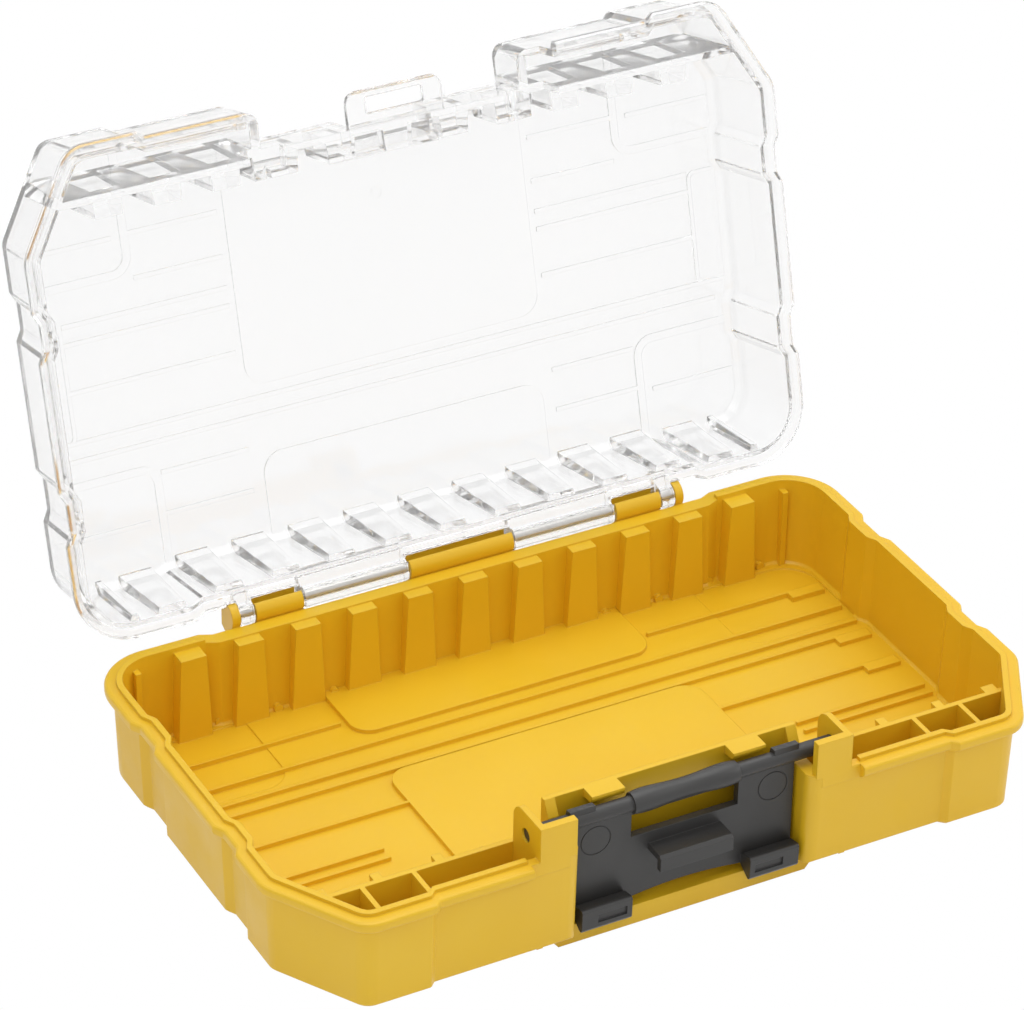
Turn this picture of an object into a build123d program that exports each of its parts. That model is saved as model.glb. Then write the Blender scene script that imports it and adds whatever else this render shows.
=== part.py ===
from build123d import *
import math
import os

os.makedirs("parts", exist_ok=True)

# Bit storage case: an open tray, a clear hinged lid, a swinging latch and a hinge pin.
# Frame: X is the width, Y runs from the front (-Y, latch) to the back (+Y, hinge),
# Z is up, and Z = 0 is the resting face under the tray. All values are millimetres.
# The lid is drawn closed and then turned open about the hinge axis.

# Joining and cutting
join = 0.5
past = 1.0
far = 90.0

# Plan outline, shared by the tray and the lid
half_width = 126.4
back_y = 74.8
front_y = -75.9
front_step = 1.9
chamfer_start_y = -46.5
chamfer_angle = 30.0
bumper_step = 1.8
back_corner_radius = 16.0
chamfer_corner_radius = 7.0
step_radius = 1.2
panel_step_radius = 0.6
side_steps = (43.5, 40.1, 29.8, 26.4, -14.9, -18.2, -27.0, -30.3)
hinge_zone_half = 87.0
hinge_zone_blend = 4.0
panel_half = 86.0
panel_blend = 2.0

# Tray shell
foot_height = 6.0
foot_half_width = 47.7
foot_slope = 5.5
foot_front_y = -67.5
foot_wall = 2.5
foot_web = 6.0
tray_height = 32.8
wall = 3.0
wall_draft = 1.0
bottom_chamfer = 0.9
cavity_chamfer = 0.8
floor_thickness = 2.5
flange_overhang = 2.6
flange_depth = 4.0
lip_height = 1.1
lip_width = 1.9
lip_end_x = 91.0
lip_front_x = 56.0
lip_zone_y = 60.0
# Flange edge as (height above the flange's underside, how far short of the full overhang)
flange_edge = ((0.0, 1.2), (0.9, 0.2), (1.6, 0.0), (3.1, 0.0), (3.7, 0.3), (4.0, 0.9))
flange_root_drop = 0.8
flange_root_inset = 0.1

# Tray floor relief
plateau_rise = 1.4
plateau_half_width = 54.7
back_plateau_inset = 2.0
front_plateau_back_y = 21.6
back_plateau_front_y = 43.2
plateau_radius = 7.0
floor_bar_width = 1.0
floor_bar_rise = 1.4
long_bar_y = (38.3, 28.8, 23.0)
long_bar_inset = 7.4
side_bar_y = (52.3, 5.7)
short_bar_y = (-11.8, -16.6)
short_bar_inner = 72.0
bar_step_inset = 19.4
bar_step_width = 4.2
corner_step_x = 80.2
corner_step_y = 31.8
corner_step_drop = 0.35
corner_step_radius = 9.0
corner_step_gap = 1.5

# Back ribs, which hold the bit boxes apart
rib_count = 11
rib_pitch = 19.5
rib_top_width = 8.6
rib_bottom_width = 11.5
rib_front_y = 66.0
rib_top_drop = 0.6
corner_rib_inset = 11.4
corner_rib_width = 2.0
corner_rib_y = 68.2
corner_rib_drop = 2.3
nub_radius = 1.5
nub_length = 3.0
nub_lift = 0.9
plain_bay_count = 2

# Front pockets
pocket_wall_y = -57.3
pocket_wall_thickness = 1.7
pocket_wall_drop = 3.3
partition_x = (84.9, 101.5)
partition_thickness = 1.6
gusset_x = (75.5, 95.5)
gusset_width = 3.0
gusset_depth = 3.0
gusset_height = 9.0
corner_gusset_inset = 12.4
corner_gusset_width = 4.5

# Latch bay
boss_outer_x = 52.5
boss_inner_x = 40.4
boss_low_inner_x = 38.5
boss_low_radius = 4.0
boss_low_wall = 4.5
boss_step_drop = 4.3
boss_wall = 2.0
boss_front_wall = 2.6
boss_height = 44.3
boss_corner_radius = 5.0
bay_floor = 0.8
mid_wall_height = 41.0
tab_inner_x = 18.3
tab_outer_x = 29.4
tab_reach = 5.2
tab_thickness = 3.0
tab_nose = 1.0
tab_curl = 0.6
post_inner_x = 39.0
post_outer_x = 42.5
post_reach = 2.8
post_depth = 5.0
post_height = 26.0

# Latch
latch_y = -65.0
latch_z = 36.7
rod_radius = 2.45
rod_half = 50.2
trunnion_radius = 2.2
trunnion_clearance = 0.08
trunnion_length = 1.7
grip_half = 17.8
grip_radius = 3.6
grip_waist = 3.1
grip_shoulder = 2.0
grip_shoulder_drop = 0.3
cam_inner_x = 30.2
cam_outer_x = 38.6
cam_reach = 4.0
cam_half = 1.2
cam_back = 2.2
plate_half = 37.2
plate_face = 1.3
plate_thickness = 2.5
plate_length = 33.5
plate_arch_rise = 1.5
plate_arch_half = 19.0
window_half = 18.1
window_near = 3.3
window_far = 11.3
ledge_half = 12.3
ledge_face = 15.5
ledge_reach = 8.0
ledge_lip = 5.4
ledge_shell = 2.0
ledge_nose = 1.0
foot_inner_x = 20.1
foot_outer_x = 36.9
foot_face = 28.7
# Hook outline as (distance out from the plate face, height under the hook's top)
hook_outline = (
    (-0.5, 2.2), (0.8, 0.9), (2.4, 0.5), (4.6, 0.0), (5.3, 0.1), (5.8, 0.7),
    (5.6, 7.0), (5.1, 7.8), (4.3, 8.0))
foot_recess_start = 1.7
foot_recess_width = 9.7
foot_recess_drop = 2.6
foot_recess_height = 3.0
foot_recess_depth = 0.8
ejector_mark_radius = 5.1
ejector_mark_x = 30.0
ejector_mark_drop = 8.5
ejector_mark_depth = 0.25
ejector_mark_line = 0.35

# Hinge
hinge_y = 78.95
hinge_z = 34.9
barrel_radius = 4.2
pin_radius = 1.5
pin_clearance = 0.05
pin_chamfer = 0.3
centre_barrel_half = 18.3
knuckle_start = 19.0
knuckle_end = 54.9
side_barrel_start = 55.7
side_barrel_end = 71.9
disc_start = 72.4
disc_end = 77.1
ear_start = 77.4
ear_end = 80.2
ear_skin = 0.8
notch_clearance = 0.5
notch_side_gap = 0.3
bracket_drop = 7.5
bracket_root = 1.5
ear_drop = 4.5
barrel_slot_front = 2.1
barrel_slot_back = 2.8
barrel_slot_front_rise = 3.4
barrel_slot_rise = 0.9
barrel_wall_rise = 2.7
arm_root = 1.0
open_angle = 105.0

# Lid
lid_gap = 0.3
lid_top = 66.0
lid_wall = 2.3
lid_skin = 2.2
lid_draft = 1.6
lid_edge_round = 2.4
lid_lip_clearance = 0.35
bay_clearance = 0.5
horn_inner_x = 43.9
horn_radius = 4.0
inner_wall_y = -62.2
inner_wall_thickness = 2.2
# Lid flange edge as (height above the rim, how far short of the full overhang)
lid_flange_edge = ((0.0, 0.6), (0.6, 0.0), (2.4, 0.0), (3.3, 0.7), (3.6, 1.6))
lid_flange_root_rise = 4.1
step_z = 59.6
step_back_y = -55.7
step_wall_thickness = 2.2
hang_tab_half = 16.4
hang_tab_tip_y = -73.6
hang_tab_thickness = 2.0
hang_tab_z = 41.0
hang_tab_bevel = 1.4
hang_tab_radius = 4.3
bay_roof_z = 41.5
hang_slot_half = 9.8
hang_slot_front = 2.7
hang_slot_width = 5.3
hang_slot_radius = 0.8
front_rib_start = 41.8
front_rib_start_half = 4.4
front_rib_end_half = 5.6
front_rib_y = -52.6
back_rib_start = 35.3
back_rib_start_half = 4.3
back_rib_end_half = 5.6
back_rib_start_depth = 2.2
back_rib_end_depth = 5.2
rib_root_flare = 0.7
lid_corner_rib_inset = 16.4
lid_corner_rib_half = 1.0
ledge_pocket_half = 14.0
ledge_pocket_y = -52.9
ledge_pocket_z = 48.8
ledge_pocket_wall = 2.0
relief_height = 0.5
label_half = 51.9
label_back_y = 17.8
label_radius = 7.0
gate_mark_radius = 2.0
gate_mark_line = 0.4
gate_mark_y = -34.1
rear_panel_half = 50.0
rear_panel_front_y = 40.5
lid_bar_width = 1.5
lid_long_bar_y = (21.8, 27.6)
lid_long_bar_inset = 10.4
lid_bar_y = (-15.5, -9.6, 5.8)
lid_bar_gap = 2.3
lid_short_bar_y = (-40.0, -25.6, 37.8, 51.4)
area_inset = 42.1
area_front_y = -26.6
area_back_y = 34.4
area_radius = 7.0
area_band = 2.7
area_bar_y = (-39.6, 53.0)
area_bar_inset = 36.4
area_bar_end_inset = 6.4
side_area_inset = 16.4
side_area_y = (-16.3, 22.5)
side_area_radius = 3.0
side_area_band = 1.3

# Values that follow from the driving ones
chamfer_slope = math.radians(chamfer_angle)
chamfer_reach = half_width * math.cos(chamfer_slope) - chamfer_start_y * math.sin(chamfer_slope)
base_z = foot_height
rim_z = base_z + tray_height
floor_z = base_z + floor_thickness
plateau_z = floor_z + plateau_rise
bar_z = floor_z + floor_bar_rise
flange_low_z = rim_z - flange_depth
axis_z = base_z + hinge_z
latch_axis_z = base_z + latch_z
lid_bottom = rim_z + lid_gap
lid_top_z = base_z + lid_top
lid_inner_z = lid_top_z - lid_skin
lid_round_z = lid_top_z - lid_edge_round
relief_z = lid_inner_z - relief_height
lid_step_z = base_z + step_z
boss_top_z = base_z + boss_height
boss_cut_z = boss_top_z + bay_clearance
boss_step_z = latch_axis_z - boss_step_drop
bay_floor_z = base_z + bay_floor
mid_wall_z = base_z + mid_wall_height
tab_z = base_z + hang_tab_z
tab_top_z = tab_z + hang_tab_thickness
roof_z = base_z + bay_roof_z
pocket_top_z = rim_z - pocket_wall_drop
hinge_wall_y = back_y - bumper_step
main_front_y = front_y + front_step
pocket_back_y = pocket_wall_y + pocket_wall_thickness
lip_outset = lip_width - wall
pin_bore = pin_radius + pin_clearance
notch_radius = barrel_radius + notch_clearance
rib_positions = [(n - (rib_count - 1) / 2) * rib_pitch for n in range(rib_count)]
long_bar_half = half_width - long_bar_inset
bar_step_x = half_width - bar_step_inset
corner_rib_x = half_width - corner_rib_inset
corner_gusset_x = half_width - corner_gusset_inset
lid_corner_rib_x = half_width - lid_corner_rib_inset
area_x = half_width - area_inset
side_area_x = half_width - side_area_inset
label_bar_x = label_half + lid_bar_gap


def box(x0, x1, y0, y1, z0, z1):
    """A block between two corners."""
    size = (x1 - x0, y1 - y0, z1 - z0)
    middle = ((x0 + x1) / 2, (y0 + y1) / 2, (z0 + z1) / 2)
    return Pos(*middle) * Box(*size)


def mirrored(x0, x1, y0, y1, z0, z1):
    """The same block on the right and on the left."""
    return box(x0, x1, y0, y1, z0, z1) + box(-x1, -x0, y0, y1, z0, z1)


def rod_x(x0, x1, y, z, radius):
    """A round bar along X."""
    turned = Pos((x0 + x1) / 2, y, z) * Rot(0, 90, 0)
    return turned * Cylinder(radius, x1 - x0)


def rounded_face(corners):
    """A flat face from corners (x, y, radius), each rounded by its own arc."""
    tiny = 1e-6
    edges = []
    starts = []
    ends = []
    mids = []
    count = len(corners)
    for i in range(count):
        x, y, radius = corners[i]
        px, py = corners[i - 1][:2]
        nx, ny = corners[(i + 1) % count][:2]
        before = Vector(x - px, y - py).normalized()
        after = Vector(nx - x, ny - y).normalized()
        turn = math.acos(max(-1.0, min(1.0, before.dot(after))))
        corner = Vector(x, y)
        if radius <= 0 or turn < tiny:
            starts.append(corner)
            ends.append(corner)
            mids.append(None)
            continue
        setback = radius * math.tan(turn / 2)
        inward = (after - before).normalized()
        rise = radius / math.cos(turn / 2) - radius
        starts.append(corner - before * setback)
        ends.append(corner + after * setback)
        mids.append(corner + inward * rise)
    for i in range(count):
        if mids[i] is not None:
            edges.append(ThreePointArc(starts[i], mids[i], ends[i]))
        following = starts[(i + 1) % count]
        if (following - ends[i]).length > tiny:
            edges.append(Line(ends[i], following))
    return make_face(Wire(edges))


def both_sides(right):
    """Plan corners on the right, followed by the same ones on the left."""
    return right + [(-x, y, radius) for x, y, radius in reversed(right)]


def plan(grow):
    """The case outline in plan, moved outwards by grow."""
    side = half_width + grow
    reach = chamfer_reach + grow
    front = front_y - grow
    main = main_front_y - grow
    chamfer_y = (side * math.cos(chamfer_slope) - reach) / math.sin(chamfer_slope)
    chamfer_x = (reach + front * math.sin(chamfer_slope)) / math.cos(chamfer_slope)
    right = [
        (hinge_zone_half, hinge_wall_y + grow, step_radius),
        (hinge_zone_half + hinge_zone_blend, back_y + grow, step_radius),
        (side, back_y + grow, back_corner_radius + grow),
    ]
    for n in range(0, len(side_steps), 4):
        out_end, in_start, in_end, out_start = side_steps[n:n + 4]
        right.append((side, out_end, step_radius))
        right.append((side - bumper_step, in_start, step_radius))
        right.append((side - bumper_step, in_end, step_radius))
        right.append((side, out_start, step_radius))
    right += [
        (side, chamfer_y, chamfer_corner_radius + grow),
        (chamfer_x, front, chamfer_corner_radius + grow),
        (panel_half + panel_blend, front, panel_step_radius),
        (panel_half, main, panel_step_radius),
    ]
    return rounded_face(both_sides(right))


def stack(levels):
    """A solid through the outline at each (height, grow)."""
    sections = [Pos(0, 0, z) * plan(grow) for z, grow in levels]
    return loft(sections, ruled=True)


def profile_x(points, x0, x1):
    """A profile in the YZ plane, carried along X."""
    wire = Polyline(*[(x0, y, z) for y, z in points], close=True)
    return extrude(make_face(wire), amount=x1 - x0, dir=(1, 0, 0))


def profile_pair(points, x0, x1):
    """The profile on both sides of the middle."""
    return profile_x(points, x0, x1) + profile_x(points, -x1, -x0)


def profile_y(points, y0, y1):
    """A profile in the XZ plane, carried along Y."""
    wire = Polyline(*[(x, y0, z) for x, z in points], close=True)
    return extrude(make_face(wire), amount=y1 - y0, dir=(0, 1, 0))


def flat_plate(corners, z0, z1):
    """A plate from plan corners (x, y, radius)."""
    return extrude(Pos(0, 0, z0) * rounded_face(corners), amount=z1 - z0, dir=(0, 0, 1))


def rectangle(x0, x1, y0, y1, radii):
    """Plan corners of a rectangle; radii go round from the low corner."""
    return [(x0, y0, radii[0]), (x1, y0, radii[1]), (x1, y1, radii[2]), (x0, y1, radii[3])]


def plate_pair(x0, x1, y0, y1, radii, z0, z1):
    """A rounded plate on the right and the same one on the left."""
    right = rectangle(x0, x1, y0, y1, radii)
    left = [(-x, y, radius) for x, y, radius in reversed(right)]
    return flat_plate(right, z0, z1) + flat_plate(left, z0, z1)


def around_hinge(x0, x1, radius):
    """A round bar on the hinge axis."""
    return rod_x(x0, x1, hinge_y, axis_z, radius)


def hinge_pair(x0, x1, radius):
    """The same round bar on both sides."""
    return around_hinge(x0, x1, radius) + around_hinge(-x1, -x0, radius)


# Tray
def tray_shell():
    """Walls, floor, rim flange and lip."""
    outer = stack([
        (base_z, -wall_draft - bottom_chamfer),
        (base_z + bottom_chamfer, -wall_draft),
        (rim_z, 0.0),
    ])
    root = [(flange_low_z - flange_root_drop, -flange_root_inset)]
    flange = stack(root + [(flange_low_z + up, flange_overhang - short) for up, short in flange_edge])
    lip_top = rim_z + lip_height
    lip = stack([(rim_z - join, lip_outset), (lip_top, lip_outset)])
    lip -= box(-lip_end_x, lip_end_x, lip_zone_y, far, rim_z, lip_top + past)
    lip -= box(-lip_front_x, lip_front_x, -far, -lip_zone_y, rim_z, lip_top + past)
    cavity = stack([
        (floor_z, -wall - wall_draft - cavity_chamfer),
        (floor_z + cavity_chamfer, -wall - wall_draft),
        (lip_top + past, -wall),
    ])
    return (outer + flange + lip) - cavity


def tray_foot():
    """The band under the floor that the case rests on, hollow between its webs."""
    reach = foot_half_width
    low = reach - foot_slope
    points = [(-low, 0.0), (low, 0.0), (reach, bay_floor_z), (-reach, bay_floor_z)]
    back = hinge_wall_y - wall_draft - bottom_chamfer
    band = profile_y(points, foot_front_y, back)
    web = foot_web / 2
    band -= mirrored(web, low - foot_wall, pocket_wall_y, -web, -past, base_z)
    return band - mirrored(web, low - foot_wall, web, back - foot_wall, -past, base_z)


def floor_relief():
    """Plateaus and bars on the tray floor."""
    low = floor_z - join
    half = plateau_half_width
    radius = plateau_radius
    front = rectangle(-half, half, pocket_back_y - join, front_plateau_back_y, (0, 0, radius, radius))
    relief = flat_plate(front, low, plateau_z)
    half -= back_plateau_inset
    back = rectangle(-half, half, back_plateau_front_y, hinge_wall_y - wall, (radius, radius, 0, 0))
    relief += flat_plate(back, low, plateau_z)
    for y in long_bar_y:
        relief += box(-long_bar_half, long_bar_half, y - floor_bar_width, y, low, bar_z)
    for y in side_bar_y:
        relief += mirrored(plateau_half_width, long_bar_half, y - floor_bar_width, y, low, bar_z)
    for y in short_bar_y:
        relief += mirrored(short_bar_inner, long_bar_half, y - floor_bar_width, y, low, bar_z)
    for y in side_bar_y + long_bar_y[2:]:
        relief += mirrored(bar_step_x, long_bar_half, y - bar_step_width, y, low, bar_z)
    return relief


def corner_steps():
    """Shallow sunk areas in the back corners of the floor."""
    far_x = half_width - wall - wall_draft - corner_step_gap
    far_y = hinge_wall_y - wall - wall_draft - corner_step_gap
    outer_radius = back_corner_radius - wall - wall_draft
    radii = (corner_step_radius, step_radius, outer_radius, step_radius)
    return plate_pair(corner_step_x, far_x, corner_step_y, far_y, radii,
                      floor_z - corner_step_drop, floor_z + past)


def back_wall_inside(x):
    """The inner face of the tray's back wall at this place along X."""
    wall_y = hinge_wall_y if abs(x) < hinge_zone_half else back_y
    return wall_y - wall + join


def back_ribs():
    """Tapered ribs along the back wall, with a small nub between each pair."""
    low = floor_z - join
    top = rim_z - rib_top_drop
    half_low = rib_bottom_width / 2
    half_top = rib_top_width / 2
    ribs = []
    for x in rib_positions:
        points = [(x - half_low, low), (x + half_low, low), (x + half_top, top), (x - half_top, top)]
        ribs.append(profile_y(points, rib_front_y, back_wall_inside(x)))
    half = corner_rib_width / 2
    ribs.append(mirrored(corner_rib_x - half, corner_rib_x + half, corner_rib_y,
                         back_wall_inside(corner_rib_x), low, rim_z - corner_rib_drop))
    for n in range(rib_count + 1):
        x = (n - rib_count / 2) * rib_pitch
        if abs(x) > rib_pitch * plain_bay_count:
            nub = Pos(x, back_wall_inside(x) - nub_length / 2, floor_z + nub_lift) * Rot(90, 0, 0)
            ribs.append(nub * Cylinder(nub_radius, nub_length))
    return ribs


def front_pockets():
    """The pocket wall behind the front wall, its partitions and its gussets."""
    low = floor_z - join
    top = pocket_top_z
    room = stack([(low, join - wall), (rim_z, join - wall)])
    walls = box(-half_width, half_width, pocket_wall_y, pocket_back_y, low, top)
    half = partition_thickness / 2
    for x in partition_x:
        walls += mirrored(x - half, x + half, front_y, pocket_wall_y + join, low, top)
    walls &= room
    points = [
        (pocket_back_y - join, top), (pocket_back_y, top), (pocket_back_y + gusset_depth, top),
        (pocket_back_y, top - gusset_height), (pocket_back_y - join, top - gusset_height),
    ]
    for x in gusset_x:
        walls += profile_pair(points, x - gusset_width / 2, x + gusset_width / 2)
    half = corner_gusset_width / 2
    return walls + profile_pair(points, corner_gusset_x - half, corner_gusset_x + half)


def front_wall_y(z):
    """The outer face of the drafted front wall at this height."""
    return main_front_y + wall_draft * (rim_z - z) / (rim_z - base_z - bottom_chamfer)


def flared_face(z, side, front, back, radius):
    """Plan of an opening in the front, flared round the corners beside it."""
    out = side + radius
    right = [(side, back, 0), (side, front, radius), (out, front, 0), (out, -far, 0)]
    return Pos(0, 0, z) * rounded_face(both_sides(right))


def bay_gap(low, high, back):
    """The gap between the lower parts of the bosses, from low to high."""
    faces = []
    for z in (low, high):
        faces.append(flared_face(z, boss_low_inner_x, front_wall_y(z), back, boss_low_radius))
    return loft(faces, ruled=True)


def boss_posts():
    """The inner walls of the bosses, below the latch's rod."""
    front = main_front_y + wall_draft + join
    end = boss_low_inner_x + boss_low_wall
    return mirrored(boss_low_inner_x - join, end, front, pocket_wall_y + join, floor_z - join, boss_step_z)


def bay_opening():
    """The room cut out of the tray's front for the latch."""
    high = boss_top_z + past
    inner = boss_outer_x - boss_wall
    notch = lip_front_x - join
    behind = main_front_y + boss_front_wall
    post = boss_low_inner_x + boss_low_wall
    opening = box(-notch, notch, -far, main_front_y, flange_low_z - flange_root_drop, high)
    opening += box(-boss_inner_x, boss_inner_x, -far, pocket_wall_y, boss_step_z, high)
    opening += bay_gap(bay_floor_z, boss_step_z + join, pocket_wall_y)
    opening += bay_gap(-past, bay_floor_z + join, foot_front_y)
    opening += mirrored(boss_inner_x - join, inner, behind, pocket_wall_y, boss_step_z, high)
    return opening + mirrored(post, inner, behind, pocket_wall_y, bay_floor_z, high)


def rounded_side(x0, x1):
    """One side wall of a boss, rounded at its upper back corner."""
    corners = [
        (main_front_y + wall_draft, base_z + join, 0), (pocket_wall_y, base_z + join, 0),
        (pocket_wall_y, boss_top_z, boss_corner_radius), (main_front_y, boss_top_z, 0),
        (main_front_y, rim_z, 0),
    ]
    upright = Plane(origin=(x0, 0, 0), x_dir=(0, 1, 0), z_dir=(1, 0, 0))
    return extrude(upright * rounded_face(corners), amount=x1 - x0, dir=(1, 0, 0))


def bay_walls():
    """The outer parts of the bosses and the wall behind the latch, with tabs and posts."""
    inner = boss_outer_x - boss_wall
    walls = rounded_side(inner, boss_outer_x) + rounded_side(-boss_outer_x, -inner)
    walls += mirrored(boss_inner_x, boss_outer_x, main_front_y, main_front_y + boss_front_wall,
                      rim_z - past, boss_top_z)
    walls += box(-post_outer_x, post_outer_x, pocket_wall_y, pocket_back_y, floor_z - join, mid_wall_z)
    walls += box(-boss_outer_x, boss_outer_x, pocket_wall_y, pocket_back_y, base_z + join, pocket_top_z)
    root = pocket_wall_y + join
    nose = pocket_wall_y - tab_reach
    low = mid_wall_z - tab_thickness
    hook = [
        (root, mid_wall_z), (nose, mid_wall_z), (nose, mid_wall_z - tab_nose),
        (nose + tab_curl, low + tab_curl), (pocket_wall_y, low), (root, low),
    ]
    walls += profile_pair(hook, tab_inner_x, tab_outer_x)
    low = mid_wall_z - post_height
    nose = pocket_wall_y - post_reach
    post = [(root, mid_wall_z), (pocket_wall_y, mid_wall_z), (nose, mid_wall_z - post_depth),
            (nose, low), (root, low)]
    return walls + profile_pair(post, post_inner_x, post_outer_x)


def latch_bay(body):
    """Opens the front for the latch and adds its walls and trunnion holes."""
    body = (body + boss_posts() - bay_opening()) + bay_walls()
    end = boss_outer_x + past
    return body - rod_x(-end, end, latch_y, latch_axis_z, trunnion_radius + trunnion_clearance)


def tray_hinge():
    """Hinge barrels and ears of the tray, with their brackets down to the wall."""
    barrels = around_hinge(-centre_barrel_half, centre_barrel_half, barrel_radius)
    barrels += hinge_pair(side_barrel_start, side_barrel_end, barrel_radius)
    root = hinge_wall_y - bracket_root
    low = flange_low_z - bracket_drop
    bracket = [
        (root, low), (hinge_wall_y - notch_side_gap, low), (hinge_y, axis_z - barrel_radius + join),
        (hinge_y, axis_z), (hinge_y - barrel_radius + join, rim_z - join), (root, rim_z - join),
    ]
    barrels += profile_x(bracket, -centre_barrel_half, centre_barrel_half)
    barrels += profile_pair(bracket, side_barrel_start, side_barrel_end)
    barrels -= barrel_slots()
    ears = hinge_pair(ear_start, ear_end, barrel_radius)
    low = flange_low_z - ear_drop
    back = hinge_y + barrel_radius
    skirt = [
        (root, low), (hinge_wall_y, low), (back, flange_low_z + past), (back, axis_z),
        (hinge_y - barrel_radius + join, axis_z), (hinge_y - barrel_radius + join, rim_z - join),
        (root, rim_z - join),
    ]
    return barrels + ears + profile_pair(skirt, ear_start, ear_end)


def barrel_slots():
    """The open slot along the top of each tray barrel, with a low wall behind it."""
    front = hinge_y - barrel_slot_front
    near = hinge_y - pin_bore
    back = hinge_y + barrel_slot_back
    wall_top = axis_z + barrel_wall_rise
    high = axis_z + barrel_radius + past
    slot = [(front, axis_z + barrel_slot_front_rise), (near, axis_z + barrel_slot_rise), (near, axis_z),
            (back, axis_z), (back, wall_top), (back + barrel_radius, wall_top),
            (back + barrel_radius, high), (front, high)]
    end = centre_barrel_half + past
    slots = profile_x(slot, -end, end)
    return slots + profile_pair(slot, side_barrel_start - past, side_barrel_end + past)


def tray_barrels(body):
    """Adds the tray's part of the hinge, with room for the lid's knuckles."""
    gap = notch_side_gap
    body -= hinge_pair(knuckle_start - gap, knuckle_end + gap, notch_radius)
    body -= hinge_pair(disc_start - gap, (disc_end + ear_start) / 2, notch_radius)
    body += tray_hinge()
    return body - around_hinge(-ear_end + ear_skin, ear_end + past, pin_bore)


def base_tray():
    """The whole tray."""
    body = tray_shell() + tray_foot()
    body -= corner_steps()
    body += floor_relief()
    body += back_ribs()
    body += front_pockets()
    body = latch_bay(body)
    return tray_barrels(body)


# Lid, drawn closed
def lid_levels(low):
    """Heights and grows of the lid's outer faces, from low upwards."""
    draft = lid_draft / (lid_round_z - lid_bottom)
    return [
        (low, (lid_bottom - low) * draft),
        (lid_round_z, -lid_draft),
        (lid_top_z - lid_edge_round * 0.35, -lid_draft - lid_edge_round * 0.3),
        (lid_top_z, -lid_draft - lid_edge_round),
    ]


def lid_shell():
    """Outer shell of the lid with its flange, rim rebate and hollow."""
    outer = stack(lid_levels(lid_bottom))
    edge = [(lid_bottom + up, flange_overhang - short) for up, short in lid_flange_edge]
    flange = stack(edge + [(lid_bottom + lid_flange_root_rise, -flange_root_inset)])
    hollow = stack([
        (lid_bottom - past, -lid_wall),
        (lid_inner_z - lid_edge_round, -lid_wall - lid_draft),
        (lid_inner_z, -lid_wall - lid_draft - lid_edge_round),
    ])
    outset = lip_outset + lid_lip_clearance
    rebate = stack([(lid_bottom - past, outset), (rim_z + lip_height + lid_lip_clearance, outset)])
    return (outer + flange) - hollow - rebate


def lid_room():
    """The space within the lid's walls, which the inner walls may fill."""
    low = lid_bottom - join
    return stack([(low, join - lid_wall), (lid_inner_z + join, join - lid_wall - lid_draft)])


def lid_inner_walls():
    """The wall across the front, the step behind the recess and the recess ends."""
    low = rim_z + lip_height + lid_lip_clearance
    high = lid_inner_z + join
    inner = inner_wall_y + inner_wall_thickness
    across = [(inner_wall_y, low), (inner, low), (inner + lid_draft, high), (inner_wall_y, high)]
    walls = profile_x(across, -half_width, half_width)
    liner_half = horn_inner_x + lid_wall
    liner_z = lid_step_z - step_wall_thickness
    liner_y = step_back_y + lid_draft + step_wall_thickness
    liner = [(inner_wall_y, liner_z), (liner_y, liner_z), (liner_y + lid_draft, high), (inner_wall_y, high)]
    walls += profile_x(liner, -liner_half, liner_half)
    end = horn_inner_x + lid_draft + lid_wall
    walls += mirrored(horn_inner_x, end, main_front_y, liner_y, boss_cut_z, high)
    return walls & lid_room()


def lid_recess(low, back):
    """The room taken out of the lid's front for the latch, from low upwards."""
    faces = []
    for z, grow in lid_levels(low):
        faces.append(flared_face(z, horn_inner_x - grow, main_front_y - grow, back - grow, horn_radius))
    return loft(faces, ruled=True)


def recess_cut():
    """The stepped recess: deeper above the step than below it."""
    lower = lid_recess(lid_bottom - past, inner_wall_y)
    upper = lid_recess(lid_step_z, step_back_y)
    back = pocket_back_y + bay_clearance
    boss_x = boss_outer_x + bay_clearance
    low = lid_bottom - past
    bosses = box(-boss_x, boss_x, -far, back, low, roof_z)
    bosses += mirrored(post_inner_x - bay_clearance, boss_x, -far, back, low, boss_cut_z)
    return [lower, upper, bosses]


def hang_tab():
    """The flat tab with its slot, which passes through the latch window."""
    half = hang_tab_half
    radius = hang_tab_radius
    outline = rectangle(-half, half, hang_tab_tip_y, inner_wall_y + join, (radius, radius, 0, 0))
    tab = flat_plate(outline, tab_z, tab_top_z)
    near = hang_tab_tip_y + hang_slot_front
    radii = (hang_slot_radius,) * 4
    slot = rectangle(-hang_slot_half, hang_slot_half, near, near + hang_slot_width, radii)
    tab -= flat_plate(slot, tab_z - past, tab_top_z + past)
    tip = hang_tab_tip_y
    bevel = [
        (tip - past, tab_top_z - hang_tab_bevel - past), (tip + hang_tab_bevel, tab_top_z),
        (tip + hang_tab_bevel, tab_top_z + past), (tip - past, tab_top_z + past),
    ]
    return tab - profile_x(bevel, -half - past, half + past)


def pocket_block():
    """The block on the inner wall that the ledge pocket is cut into."""
    out = ledge_pocket_half + ledge_pocket_wall
    low = base_z + ledge_pocket_z - ledge_pocket_wall
    back = ledge_pocket_y + ledge_pocket_wall
    return box(-out, out, inner_wall_y + join, back, low, lid_inner_z + join)


def pocket_cut():
    """The pocket in the middle that the latch ledge swings down into."""
    half = ledge_pocket_half
    low = base_z + ledge_pocket_z
    return box(-half, half, inner_wall_y - past, ledge_pocket_y, low, lid_top_z + past)


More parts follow.
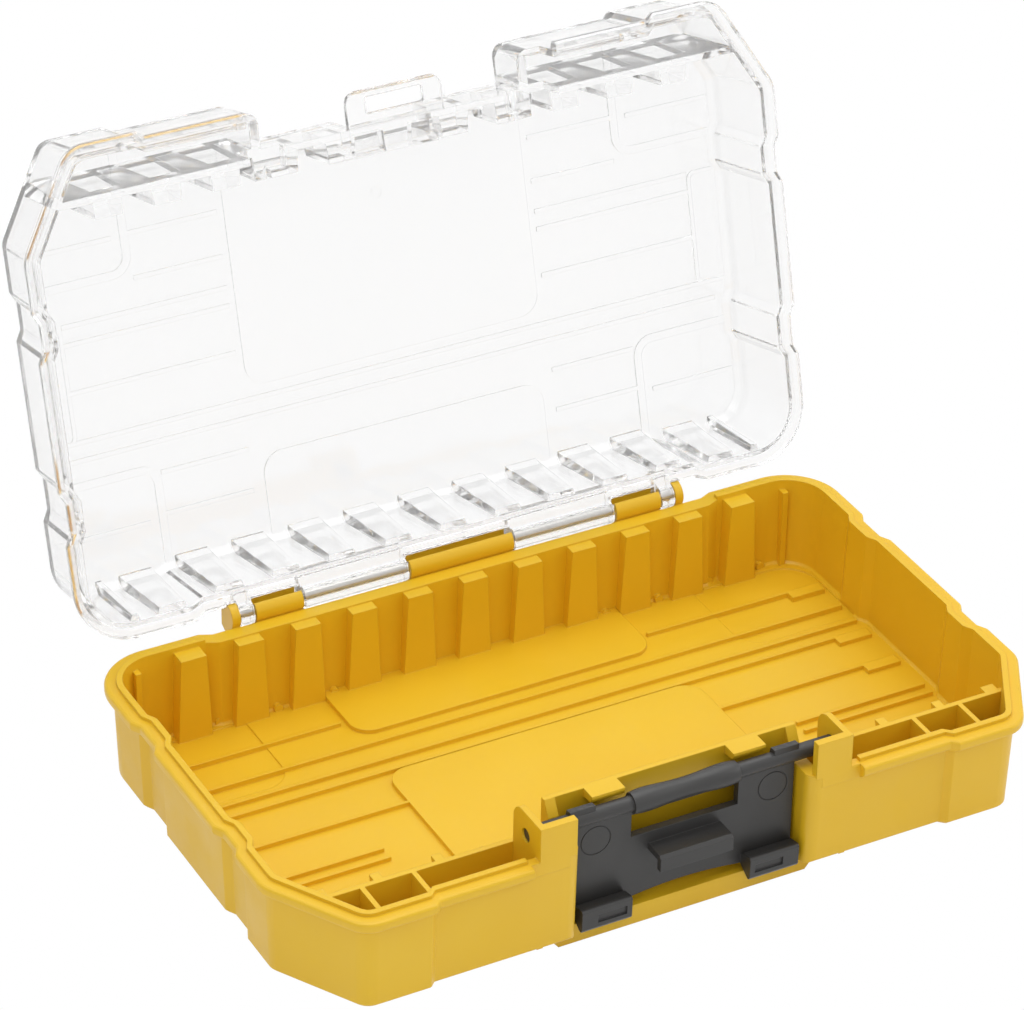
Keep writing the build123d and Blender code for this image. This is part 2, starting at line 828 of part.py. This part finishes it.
def wall_rib(x, wall_y, low, high):
    """A rib on a wall; low and high are each (height, half width, face y)."""
    sections = []
    for z, half, face_y in (low, high):
        root = half + rib_root_flare
        face = make_face(Polyline(
            (x - root, wall_y, 0), (x + root, wall_y, 0),
            (x + half, face_y, 0), (x - half, face_y, 0), close=True))
        sections.append(Pos(0, 0, z) * face)
    return loft(sections, ruled=True)


def lid_ribs():
    """Wedge ribs behind the front wall and along the hinge wall."""
    high = lid_inner_z + join
    front_root = inner_wall_y + inner_wall_thickness - join
    front_low = (base_z + front_rib_start, front_rib_start_half, front_rib_y)
    front_high = (high, front_rib_end_half, front_rib_y)
    under_pocket = (base_z + ledge_pocket_z - join, front_rib_start_half, front_rib_y)
    ribs = []
    for x in rib_positions:
        upper = under_pocket if abs(x) < ledge_pocket_half else front_high
        ribs.append(wall_rib(x, front_root, front_low, upper))
        wall_y = hinge_wall_y if abs(x) < hinge_zone_half else back_y
        ribs.append(back_wall_rib(x, wall_y - lid_wall, back_rib_start_half, back_rib_end_half))
    for x in (-lid_corner_rib_x, lid_corner_rib_x):
        ribs.append(back_wall_rib(x, back_y - lid_wall, lid_corner_rib_half, lid_corner_rib_half))
    return ribs


def back_wall_rib(x, inside_y, low_half, high_half):
    """A rib that deepens along the hinge wall from the rim to the panel."""
    low = (base_z + back_rib_start, low_half, inside_y - back_rib_start_depth)
    high = (lid_inner_z + join, high_half, inside_y - back_rib_end_depth)
    return wall_rib(x, inside_y + join, low, high)


def panel_bars(z0, z1):
    """Narrow raised bars across the inside of the top panel."""
    half = lid_bar_width / 2
    end = half_width - lid_long_bar_inset
    bars = []
    for y in lid_long_bar_y:
        bars.append(box(-end, end, y - half, y + half, z0, z1))
    for y in lid_bar_y:
        bars.append(mirrored(label_bar_x, side_area_x, y - half, y + half, z0, z1))
    for y in lid_short_bar_y:
        bars.append(mirrored(label_bar_x, area_x, y - half, y + half, z0, z1))
    start = half_width - area_bar_inset
    end = half_width - area_bar_end_inset
    for y in area_bar_y:
        bars.append(mirrored(start, end, y - half, y + half, z0, z1))
    return bars


def raised_band(x, y0, y1, radii, band, z0, z1):
    """A raised band round an area that runs out to the side wall."""
    open_low = past if radii[0] == 0 else band
    open_high = past if radii[3] == 0 else band
    sign_low = -open_low if radii[0] == 0 else open_low
    sign_high = open_high if radii[3] == 0 else -open_high
    inner_radii = tuple(max(radius - band, 0) for radius in radii)
    outer = plate_pair(x, half_width, y0, y1, radii, z0, z1)
    inner = plate_pair(x + band, half_width + past, y0 + sign_low, y1 + sign_high, inner_radii,
                       z0 - past, z1 + past)
    return outer - inner


def panel_bands(z0, z1):
    """Raised bands round the four corners and the two sides of the top panel."""
    radius = area_radius
    bands = raised_band(area_x, front_y, area_front_y, (0, 0, 0, radius), area_band, z0, z1)
    bands += raised_band(area_x, area_back_y, back_y, (radius, 0, 0, 0), area_band, z0, z1)
    radii = (side_area_radius, 0, 0, side_area_radius)
    low, high = side_area_y
    return bands + raised_band(side_area_x, low, high, radii, side_area_band, z0, z1)


def panel_relief():
    """Raised panels, bars and bands on the inside of the lid's top panel."""
    z0 = relief_z
    z1 = lid_inner_z + join
    radii = (0, 0, label_radius, label_radius)
    label = rectangle(-label_half, label_half, inner_wall_y, label_back_y, radii)
    relief = flat_plate(label, z0, z1)
    ring = Cylinder(gate_mark_radius, relief_height)
    ring -= Cylinder(gate_mark_radius - gate_mark_line, relief_height + past)
    relief -= Pos(0, gate_mark_y, z0) * ring
    radii = (label_radius, label_radius, 0, 0)
    half = rear_panel_half
    rear = rectangle(-half, half, rear_panel_front_y, hinge_wall_y, radii)
    relief += flat_plate(rear, z0, z1)
    relief += panel_bars(z0, z1)
    relief += panel_bands(z0, z1)
    room = stack([(z0 - past, -lid_wall - lid_draft), (z1 + past, -lid_wall - lid_draft)])
    return relief & room


def lid_knuckles(body):
    """Knuckles and discs of the lid, with room for the tray's barrels."""
    gap = notch_side_gap
    body -= around_hinge(-centre_barrel_half - gap, centre_barrel_half + gap, notch_radius)
    body -= hinge_pair(side_barrel_start - gap, side_barrel_end + gap, notch_radius)
    body -= hinge_pair(ear_start - gap, ear_end + gap, notch_radius)
    knuckles = hinge_pair(knuckle_start, knuckle_end, barrel_radius)
    knuckles += hinge_pair(disc_start, disc_end, barrel_radius)
    front = hinge_wall_y - arm_root
    back = hinge_y - arm_root
    high = axis_z + barrel_radius - pin_clearance
    arm = [(front, lid_bottom), (back, lid_bottom), (back, high), (front, high)]
    knuckles += profile_pair(arm, knuckle_start, knuckle_end)
    knuckles += profile_pair(arm, disc_start, disc_end)
    return (body + knuckles) - around_hinge(-ear_end, ear_end, pin_bore)


def clear_lid():
    """The whole lid, turned open as in the resting pose."""
    body = lid_shell() + lid_inner_walls()
    body += lid_ribs()
    body += panel_relief()
    body += pocket_block()
    body -= recess_cut()
    body -= pocket_cut()
    body += hang_tab()
    body = lid_knuckles(body)
    hinge_line = Pos(0, hinge_y, axis_z)
    return hinge_line * Rot(-open_angle, 0, 0) * hinge_line.inverse() * body


# Latch, drawn hanging open
def latch_plate():
    """The plate with its arched lower edge and its window."""
    front = latch_y - plate_face
    back = front + plate_thickness
    low = latch_axis_z - plate_length
    plate = box(-plate_half, plate_half, front, back, low, latch_axis_z)
    arch_radius = (plate_arch_half ** 2 + plate_arch_rise ** 2) / (2 * plate_arch_rise)
    arch = Pos(0, (front + back) / 2, low + plate_arch_rise - arch_radius) * Rot(90, 0, 0)
    return plate - arch * Cylinder(arch_radius, plate_thickness + 2 * past)


def latch_rod():
    """The round rod with its grip, its cams and its trunnions."""
    rod = rod_x(-rod_half, rod_half, latch_y, latch_axis_z, rod_radius)
    end = rod_half + trunnion_length
    rod += rod_x(-end, end, latch_y, latch_axis_z, trunnion_radius)
    shoulder = grip_half - grip_shoulder
    rings = (
        (-grip_half, grip_radius - grip_shoulder_drop), (-shoulder, grip_radius), (0, grip_waist),
        (shoulder, grip_radius), (grip_half, grip_radius - grip_shoulder_drop))
    rod += loft([Pos(x, latch_y, latch_axis_z) * Rot(0, 90, 0) * Circle(r) for x, r in rings])
    top = latch_axis_z + cam_reach
    cam = [
        (latch_y - cam_half, latch_axis_z), (latch_y - cam_half, top),
        (latch_y + cam_half, top - pin_chamfer), (latch_y + cam_back, latch_axis_z),
    ]
    return rod + profile_pair(cam, cam_inner_x, cam_outer_x)


def latch_window():
    """The opening that the lid's hang tab passes through."""
    front = latch_y - plate_face
    return box(-window_half, window_half, front - past, front + plate_thickness + past,
               latch_axis_z - window_far, latch_axis_z - window_near)


def latch_ledge():
    """The ledge that pulls the lid down, a slab with a lip along its front."""
    front = latch_y - plate_face
    top = latch_axis_z - ledge_face
    nose = front - ledge_reach
    inner = nose + ledge_shell
    back = front + join
    outline = [
        (back, top), (nose + ledge_nose, top), (nose, top - ledge_nose), (nose, top - ledge_lip),
        (inner, top - ledge_lip), (inner, top - ledge_shell), (back, top - ledge_shell),
    ]
    return profile_x(outline, -ledge_half, ledge_half)


def latch_hooks():
    """The two feet at the lower edge, each with a shallow grip recess."""
    front = latch_y - plate_face
    top = latch_axis_z - foot_face
    low = latch_axis_z - plate_length
    points = [(front - out, top - down) for out, down in hook_outline] + [(front + join, low)]
    hooks = profile_pair(points, foot_inner_x, foot_outer_x)
    start = foot_inner_x + foot_recess_start
    high = top - foot_recess_drop
    face = front - max(out for out, down in hook_outline)
    return hooks - mirrored(start, start + foot_recess_width, face - past, face + foot_recess_depth,
                            high - foot_recess_height, high)


def ejector_marks():
    """Two thin round moulding marks in the plate's face."""
    ring = Cylinder(ejector_mark_radius, ejector_mark_depth * 2)
    ring -= Cylinder(ejector_mark_radius - ejector_mark_line, ejector_mark_depth * 2 + past)
    height = latch_axis_z - ejector_mark_drop
    marks = []
    for x in (-ejector_mark_x, ejector_mark_x):
        marks.append(Pos(x, latch_y - plate_face, height) * Rot(90, 0, 0) * ring)
    return marks


def latch():
    """The whole latch."""
    body = latch_plate() + latch_rod()
    body -= latch_window()
    body += latch_ledge()
    body += latch_hooks()
    return body - ejector_marks()


def hinge_pin():
    """The steel pin along the whole hinge."""
    pin = around_hinge(-ear_end + ear_skin, ear_end, pin_radius)
    return chamfer(pin.edges().filter_by(GeomType.CIRCLE), pin_chamfer)


pieces = {
    "base_tray": base_tray,
    "clear_lid": clear_lid,
    "latch": latch,
    "hinge_pin": hinge_pin,
}
for name, make in pieces.items():
    shape = make()
    shape.label = name
    export_step(shape, f"parts/{name}.step")
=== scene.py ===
import math

import bpy
from mathutils import Matrix, Vector


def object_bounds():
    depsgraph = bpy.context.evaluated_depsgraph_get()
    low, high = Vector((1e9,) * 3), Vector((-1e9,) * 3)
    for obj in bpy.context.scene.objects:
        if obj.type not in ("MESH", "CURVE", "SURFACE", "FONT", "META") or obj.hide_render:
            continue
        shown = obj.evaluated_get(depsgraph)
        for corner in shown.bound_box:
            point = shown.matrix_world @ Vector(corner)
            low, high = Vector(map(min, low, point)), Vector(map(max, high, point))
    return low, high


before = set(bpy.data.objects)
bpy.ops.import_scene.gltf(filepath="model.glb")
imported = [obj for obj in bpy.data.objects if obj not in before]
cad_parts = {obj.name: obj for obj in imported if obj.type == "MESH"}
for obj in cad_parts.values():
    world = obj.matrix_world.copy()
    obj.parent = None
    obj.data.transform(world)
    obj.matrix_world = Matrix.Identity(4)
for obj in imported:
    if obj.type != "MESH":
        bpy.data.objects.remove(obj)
cad_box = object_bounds()

MM = 0.001

# Camera, from the view of the photograph
IMAGE_WIDTH = 1024
SENSOR_MM = 36.0
FOCAL_PX = 4672.9
CENTRE_U = 512.65
CENTRE_V = 504.48
IMAGE_MIDDLE_U = 512.0
IMAGE_MIDDLE_V = 505.0
AZIMUTH = math.radians(-28.589)
ELEVATION = math.radians(32.537)
ROLL = math.radians(0.986)
CAMERA_RIGHT = -19.052 * MM
CAMERA_UP = 82.162 * MM
CAMERA_DISTANCE = 1438.15 * MM
CAMERA_LIFT = 6.5 * MM

# Colours, as linear values
YELLOW = (0.80, 0.505, 0.015)
YELLOW_DEEP = (0.77, 0.47, 0.012)
LATCH_GREY = (0.036, 0.035, 0.034)
LATCH_DEEP = (0.032, 0.031, 0.030)
STEEL = (0.56, 0.55, 0.53)
CLEAR = (0.984, 0.985, 0.986)
FLOOR = (0.92, 0.92, 0.92)
WHITE = (1.0, 1.0, 1.0)

# Opaque plastic
PLASTIC_IOR = 1.5
PLASTIC_ROUGHNESS = 0.42
SHEEN_SPREAD = 0.08
GRAIN_SCALE = 2600.0
GRAIN_DEPTH = 0.05 * MM

# Clear plastic
CLEAR_IOR = 1.43
CLEAR_TRANSMISSION = 0.94
CLEAR_EDGE = 0.5 * MM
WAVE_STRENGTH = 0.15
WAVE_DEPTH = 0.6 * MM

# Surroundings
FLOOR_HALF = 6.0
FLOOR_GAP = 0.2 * MM
SKY_LOW = (0.55, 0.55, 0.55)
SKY_HIGH = (0.85, 0.85, 0.85)
SKY_STRENGTH = 0.75
LAMP_AIM = (0.0, 0.0, 0.03)
# Lamps as name, place, side of the square and power
LAMPS = (
    ("key", (-0.9, -1.1, 1.5), 1.2, 6.5),
    ("top", (0.2, 0.3, 1.6), 1.6, 15.0),
    ("side", (1.3, -0.6, 0.8), 0.9, 4.5),
)
LIGHT_BOUNCES = 24
GLOSSY_BOUNCES = 16


class Nodes:
    """A short way to write a material's node tree."""

    def __init__(self, name):
        self.material = bpy.data.materials.new(name)
        self.material.use_nodes = True
        self.tree = self.material.node_tree
        self.tree.nodes.clear()
        self.output = self.add("ShaderNodeOutputMaterial")

    def add(self, kind, **values):
        node = self.tree.nodes.new(kind)
        for key, value in values.items():
            setattr(node, key, value)
        return node

    def link(self, source, target):
        self.tree.links.new(source, target)

    def value(self, node, name, value):
        node.inputs[name].default_value = value

    def noise(self, coords, scale, detail=3.0, roughness=0.5):
        node = self.add("ShaderNodeTexNoise")
        self.link(coords, node.inputs["Vector"])
        self.value(node, "Scale", scale)
        self.value(node, "Detail", detail)
        self.value(node, "Roughness", roughness)
        return node.outputs["Fac"]

    def spread(self, source, low, high, to_low, to_high):
        node = self.add("ShaderNodeMapRange")
        self.link(source, node.inputs["Value"])
        self.value(node, "From Min", low)
        self.value(node, "From Max", high)
        self.value(node, "To Min", to_low)
        self.value(node, "To Max", to_high)
        return node.outputs["Result"]

    def mix(self, factor, first, second):
        node = self.add("ShaderNodeMix", data_type="RGBA")
        self.link(factor, node.inputs["Factor"])
        for index, colour in ((6, first), (7, second)):
            node.inputs[index].default_value = (*colour, 1.0)
        return node.outputs[2]

    def principled(self):
        shader = self.add("ShaderNodeBsdfPrincipled")
        self.link(shader.outputs["BSDF"], self.output.inputs["Surface"])
        return shader, self.add("ShaderNodeTexCoord").outputs["Object"]

    def relief(self, shader, height, strength, depth, edge, samples):
        """Bumps over slightly rounded edges."""
        bump = self.add("ShaderNodeBump")
        self.value(bump, "Strength", strength)
        self.value(bump, "Distance", depth)
        self.link(height, bump.inputs["Height"])
        bevel = self.add("ShaderNodeBevel", samples=samples)
        self.value(bevel, "Radius", edge)
        self.link(bevel.outputs["Normal"], bump.inputs["Normal"])
        self.link(bump.outputs["Normal"], shader.inputs["Normal"])


def moulded_plastic(name, colour, deep, grain, edge):
    """Injection-moulded plastic: fine grain, soft colour drift and slightly worn edges."""
    n = Nodes(name)
    shader, coords = n.principled()
    drift = n.noise(coords, 14.0, 2.0)
    n.link(n.mix(n.spread(drift, 0.35, 0.65, 0.0, 1.0), colour, deep), shader.inputs["Base Color"])
    patches = n.noise(coords, 60.0, 4.0, 0.6)
    low = PLASTIC_ROUGHNESS - SHEEN_SPREAD
    high = PLASTIC_ROUGHNESS + SHEEN_SPREAD
    n.link(n.spread(patches, 0.3, 0.7, low, high), shader.inputs["Roughness"])
    n.relief(shader, n.noise(coords, GRAIN_SCALE, 2.0, 0.6), grain, GRAIN_DEPTH, edge, 6)
    n.value(shader, "IOR", PLASTIC_IOR)
    return n.material


def clear_plastic(name):
    """Polished clear plastic with a faint cast and slightly wavy moulded faces."""
    n = Nodes(name)
    shader, coords = n.principled()
    n.value(shader, "Base Color", (*CLEAR, 1.0))
    n.value(shader, "Transmission Weight", CLEAR_TRANSMISSION)
    n.value(shader, "IOR", CLEAR_IOR)
    patches = n.noise(coords, 35.0, 3.0)
    n.link(n.spread(patches, 0.3, 0.7, 0.03, 0.07), shader.inputs["Roughness"])
    n.relief(shader, n.noise(coords, 45.0, 2.0), WAVE_STRENGTH, WAVE_DEPTH, CLEAR_EDGE, 4)
    return n.material


def steel(name):
    """Drawn steel wire with fine lines round it."""
    n = Nodes(name)
    shader, coords = n.principled()
    stretch = n.add("ShaderNodeMapping")
    n.value(stretch, "Scale", (8.0, 900.0, 900.0))
    n.link(coords, stretch.inputs["Vector"])
    lines = n.noise(stretch.outputs["Vector"], 1.0, 3.0)
    n.link(n.spread(lines, 0.3, 0.7, 0.22, 0.42), shader.inputs["Roughness"])
    n.value(shader, "Base Color", (*STEEL, 1.0))
    n.value(shader, "Metallic", 1.0)
    return n.material


def dress(node, material):
    """Gives a carried-over part its material in every slot."""
    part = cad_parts[node]
    for slot in part.material_slots:
        slot.material = material


def seen_directly(tree):
    """One where the camera sees the backdrop itself, through glass or mirrored."""
    path = tree.nodes.new("ShaderNodeLightPath")
    seen = path.outputs["Is Camera Ray"]
    for name in ("Is Transmission Ray", "Is Glossy Ray"):
        either = tree.nodes.new("ShaderNodeMath")
        either.operation = "MAXIMUM"
        tree.links.new(seen, either.inputs[0])
        tree.links.new(path.outputs[name], either.inputs[1])
        seen = either.outputs["Value"]
    return seen


def build_floor():
    """A large pale floor with a faint contact shadow, see-through from below."""
    size = FLOOR_HALF
    mesh = bpy.data.meshes.new("floor")
    corners = [(-size, -size, 0), (size, -size, 0), (size, size, 0), (-size, size, 0)]
    mesh.from_pydata(corners, [], [(0, 1, 2, 3)])
    floor = bpy.data.objects.new("floor", mesh)
    bpy.context.scene.collection.objects.link(floor)
    floor.location.z = cad_box[0][2] - FLOOR_GAP
    n = Nodes("floor_white")
    diffuse = n.add("ShaderNodeBsdfDiffuse")
    n.value(diffuse, "Color", (*FLOOR, 1.0))
    glow = n.add("ShaderNodeEmission")
    n.value(glow, "Color", (*WHITE, 1.0))
    n.value(glow, "Strength", 1.0)
    blend = n.add("ShaderNodeMixShader")
    n.link(seen_directly(n.tree), blend.inputs["Fac"])
    n.link(diffuse.outputs["BSDF"], blend.inputs[1])
    n.link(glow.outputs["Emission"], blend.inputs[2])
    clear = n.add("ShaderNodeBsdfTransparent")
    one_sided = n.add("ShaderNodeMixShader")
    n.link(n.add("ShaderNodeNewGeometry").outputs["Backfacing"], one_sided.inputs["Fac"])
    n.link(blend.outputs["Shader"], one_sided.inputs[1])
    n.link(clear.outputs["BSDF"], one_sided.inputs[2])
    n.link(one_sided.outputs["Shader"], n.output.inputs["Surface"])
    mesh.materials.append(n.material)


def build_world():
    """Soft studio surroundings: white where it is seen, graded where it lights."""
    world = bpy.data.worlds.new("studio")
    bpy.context.scene.world = world
    world.use_nodes = True
    tree = world.node_tree
    tree.nodes.clear()
    output = tree.nodes.new("ShaderNodeOutputWorld")
    coords = tree.nodes.new("ShaderNodeTexCoord")
    axes = tree.nodes.new("ShaderNodeSeparateXYZ")
    tree.links.new(coords.outputs["Generated"], axes.inputs["Vector"])
    ramp = tree.nodes.new("ShaderNodeValToRGB")
    ramp.color_ramp.elements[0].position = 0.0
    ramp.color_ramp.elements[0].color = (*SKY_LOW, 1)
    ramp.color_ramp.elements[1].position = 1.0
    ramp.color_ramp.elements[1].color = (*SKY_HIGH, 1)
    tree.links.new(axes.outputs["Z"], ramp.inputs["Fac"])
    graded = tree.nodes.new("ShaderNodeBackground")
    tree.links.new(ramp.outputs["Color"], graded.inputs["Color"])
    graded.inputs["Strength"].default_value = SKY_STRENGTH
    white = tree.nodes.new("ShaderNodeBackground")
    white.inputs["Color"].default_value = (*WHITE, 1)
    white.inputs["Strength"].default_value = 1.0
    mix = tree.nodes.new("ShaderNodeMixShader")
    tree.links.new(seen_directly(tree), mix.inputs["Fac"])
    tree.links.new(graded.outputs["Background"], mix.inputs[1])
    tree.links.new(white.outputs["Background"], mix.inputs[2])
    tree.links.new(mix.outputs["Shader"], output.inputs["Surface"])


def area_light(name, place, size, watts):
    """A square soft light that points at the case."""
    data = bpy.data.lights.new(name, "AREA")
    data.size = size
    data.energy = watts
    lamp = bpy.data.objects.new(name, data)
    bpy.context.scene.collection.objects.link(lamp)
    lamp.location = place
    toward = Vector(LAMP_AIM) - Vector(place)
    lamp.rotation_euler = toward.to_track_quat("-Z", "Y").to_euler()


def build_camera():
    """The camera that the photograph was fitted with."""
    back = Vector((math.sin(AZIMUTH) * math.cos(ELEVATION), -math.cos(AZIMUTH) * math.cos(ELEVATION),
                   math.sin(ELEVATION)))
    right = Vector((math.cos(AZIMUTH), math.sin(AZIMUTH), 0.0))
    up = back.cross(right)
    turned_right = right * math.cos(ROLL) + up * math.sin(ROLL)
    turned_up = up * math.cos(ROLL) - right * math.sin(ROLL)
    place = turned_right * CAMERA_RIGHT + turned_up * CAMERA_UP + back * CAMERA_DISTANCE
    place.z += CAMERA_LIFT
    data = bpy.data.cameras.new("camera")
    data.sensor_width = SENSOR_MM
    data.lens = FOCAL_PX / IMAGE_WIDTH * SENSOR_MM
    data.shift_x = (IMAGE_MIDDLE_U - CENTRE_U) / IMAGE_WIDTH
    data.shift_y = (CENTRE_V - IMAGE_MIDDLE_V) / IMAGE_WIDTH
    camera = bpy.data.objects.new("camera", data)
    bpy.context.scene.collection.objects.link(camera)
    rotation = Matrix((turned_right, turned_up, back)).transposed()
    camera.matrix_world = Matrix.Translation(place) @ rotation.to_4x4()
    bpy.context.scene.camera = camera


dress("base_tray", moulded_plastic("yellow_plastic", YELLOW, YELLOW_DEEP, 0.25, 0.4 * MM))
dress("latch", moulded_plastic("dark_plastic", LATCH_GREY, LATCH_DEEP, 0.35, 0.3 * MM))
dress("clear_lid", clear_plastic("clear_plastic"))
dress("hinge_pin", steel("drawn_steel"))

build_floor()
build_world()
for lamp_name, place, size, watts in LAMPS:
    area_light(lamp_name, place, size, watts)
build_camera()
bpy.context.scene.view_settings.view_transform = "Standard"
cycles = bpy.context.scene.cycles
cycles.max_bounces = LIGHT_BOUNCES
cycles.transmission_bounces = LIGHT_BOUNCES
cycles.glossy_bounces = GLOSSY_BOUNCES
